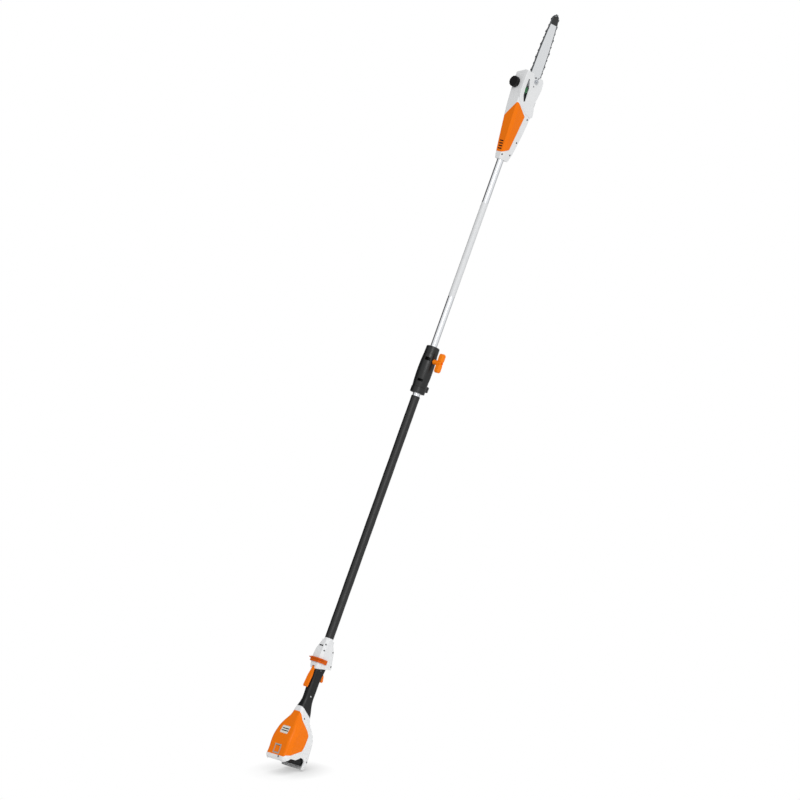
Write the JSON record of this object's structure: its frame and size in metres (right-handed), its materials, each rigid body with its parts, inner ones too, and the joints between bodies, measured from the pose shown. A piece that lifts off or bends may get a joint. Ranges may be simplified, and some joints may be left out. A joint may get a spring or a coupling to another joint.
{
  "type": "telescoping pole saw",
  "caption": "Cordless pole saw: battery housing, control grip and foam-sleeved tube, clamp with wing knob, sliding upper tube, and a head with guide bar and chain.",
  "frame": {"origin": "middle of the control grip, on the pole axis", "axes": "+Z along the pole towards the saw, +X the side of the sprocket cover, -Y the side of the lockout lever"},
  "size_m": [0.1251, 0.1264, 2.9378],
  "materials": {
    "white_plastic": "fine moulded texture",
    "orange_plastic": "satin moulded",
    "grey_plastic": "satin moulded",
    "black_plastic": "fine moulded texture",
    "grip_rubber": "soft textured",
    "foam": "cellular foam",
    "seal_rubber": "smooth",
    "tube_aluminium": "drawn and polished",
    "label_foil": "glossy blank foil",
    "spring_steel": "bright wire",
    "steel": "zinc plated",
    "bar_steel": "ground",
    "chain_steel": "blued",
    "contact_brass": "bright",
    "board_green": "lacquered board",
    "tank_plastic": "translucent moulded"
  },
  "bodies": {
    "handle": {"base_shell_right": "white_plastic", "base_shell_left": "white_plastic", "base_cover": "orange_plastic", "base_vent_grille": "grey_plastic", "latch_bezel": "grey_plastic", "battery_bay_liner": "black_plastic", "contact_block": "black_plastic", "contact_blades": "contact_brass", "ejector_spring": "spring_steel", "latch_pins": "steel", "controller_board": "board_green", "grip_shell_right": "grip_rubber", "grip_shell_left": "grip_rubber", "lever_pins": "steel", "lever_springs": "spring_steel", "switch_module": "black_plastic", "control_box_right": "white_plastic", "control_box_left": "white_plastic", "latch_spring": "spring_steel", "lower_tube": "tube_aluminium", "foam_sleeve": "foam", "coiled_lead": "seal_rubber", "clamp_shell_right": "black_plastic", "clamp_shell_left": "black_plastic", "clamp_pad": "black_plastic", "clamp_nut": "steel", "guide_collar": "black_plastic", "body_screws": "steel"},
    "ejector": {"ejector_plate": "black_plastic"},
    "front_latch": {"battery_latch_front": "orange_plastic"},
    "rear_latch": {"battery_latch_rear": "orange_plastic"},
    "trigger": {"trigger": "orange_plastic"},
    "lockout": {"lockout_lever": "orange_plastic"},
    "retainer": {"retaining_latch": "orange_plastic"},
    "knob": {"wing_knob": "orange_plastic", "clamp_stud": "steel"},
    "upper": {"upper_tube": "tube_aluminium", "label_sleeve": "label_foil", "slide_plug": "black_plastic", "head_shell_right": "white_plastic", "head_shell_left": "white_plastic", "head_cover": "orange_plastic", "head_vent_grille": "black_plastic", "head_screws": "steel", "motor_can": "steel", "mount_plate": "steel", "shaft_bearings": "steel", "oil_tank": "tank_plastic", "oil_cap_seal": "seal_rubber", "guide_bar": "bar_steel", "saw_chain": "chain_steel", "sprocket_cover": "white_plastic", "bar_stud": "steel"},
    "sprocket": {"drive_gear": "steel", "sprocket_shaft": "steel", "chain_sprocket": "chain_steel"},
    "rotor": {"motor_rotor": "steel"},
    "oil_cap": {"oil_cap": "black_plastic"},
    "nut": {"cover_nut": "steel"},
    "tensioner": {"tensioner_screw": "steel"}
  },
  "joints": [
    {"name": "telescope", "type": "slide", "parent": "handle", "child": "upper", "axis": [0, 0, 1], "range_m": [0, 1], "deforming": ["coiled_lead"]},
    {"name": "knob_turn", "type": "hinge", "parent": "handle", "child": "knob", "pos_m": [0.05, 0, 1.282], "axis": [1, 0, 0], "range_deg": [0, 360]},
    {"name": "trigger_pull", "type": "hinge", "parent": "handle", "child": "trigger", "pos_m": [0, 0.015, 0.063], "axis": [-1, 0, 0], "range_deg": [0, 12], "stiffness_Nm_per_rad": 1, "springref_deg": -8.59},
    {"name": "lockout_press", "type": "hinge", "parent": "handle", "child": "lockout", "pos_m": [0, -0.012, 0.077], "axis": [1, 0, 0], "range_deg": [0, 6], "stiffness_Nm_per_rad": 1.5, "springref_deg": -6.88},
    {"name": "retainer_slide", "type": "slide", "parent": "handle", "child": "retainer", "axis": [0, 0, 1], "range_m": [0, 0.004], "stiffness_N_per_m": 400, "springref_m": -0.003, "deforming": ["latch_spring"]},
    {"name": "ejector_slide", "type": "slide", "parent": "handle", "child": "ejector", "axis": [0, 0, 1], "range_m": [0, 0.01], "stiffness_N_per_m": 300, "springref_m": -0.005, "deforming": ["ejector_spring"]},
    {"name": "front_latch_press", "type": "hinge", "parent": "handle", "child": "front_latch", "pos_m": [0, -0.0535, -0.248], "axis": [-1, 0, 0], "range_deg": [0, 8], "stiffness_Nm_per_rad": 0.6, "springref_deg": -5.73},
    {"name": "rear_latch_press", "type": "hinge", "parent": "handle", "child": "rear_latch", "pos_m": [0, 0.0535, -0.224], "axis": [1, 0, 0], "range_deg": [0, 8], "stiffness_Nm_per_rad": 0.6, "springref_deg": -5.73},
    {"name": "sprocket_spin", "type": "hinge", "parent": "upper", "child": "sprocket", "pos_m": [0.021, 0.002, 2.325], "axis": [1, 0, 0], "continuous": true},
    {"name": "rotor_spin", "type": "hinge", "parent": "upper", "child": "rotor", "pos_m": [-0.01, 0.002, 2.286], "axis": [1, 0, 0], "continuous": true},
    {"name": "oil_cap_turn", "type": "hinge", "parent": "upper", "child": "oil_cap", "pos_m": [-0.013, -0.055, 2.359], "axis": [0, -1, 0], "range_deg": [0, 90]},
    {"name": "nut_turn", "type": "hinge", "parent": "upper", "child": "nut", "pos_m": [0.032, 0.008, 2.386], "axis": [1, 0, 0], "range_deg": [0, 360]},
    {"name": "tension_turn", "type": "hinge", "parent": "upper", "child": "tensioner", "pos_m": [0.02, 0.006, 2.366], "axis": [1, 0, 0], "range_deg": [0, 360]}
  ],
  "couplings": [
    {"joint": "rotor_spin", "follows": "sprocket_spin", "ratio": -3.3333}
  ]
}
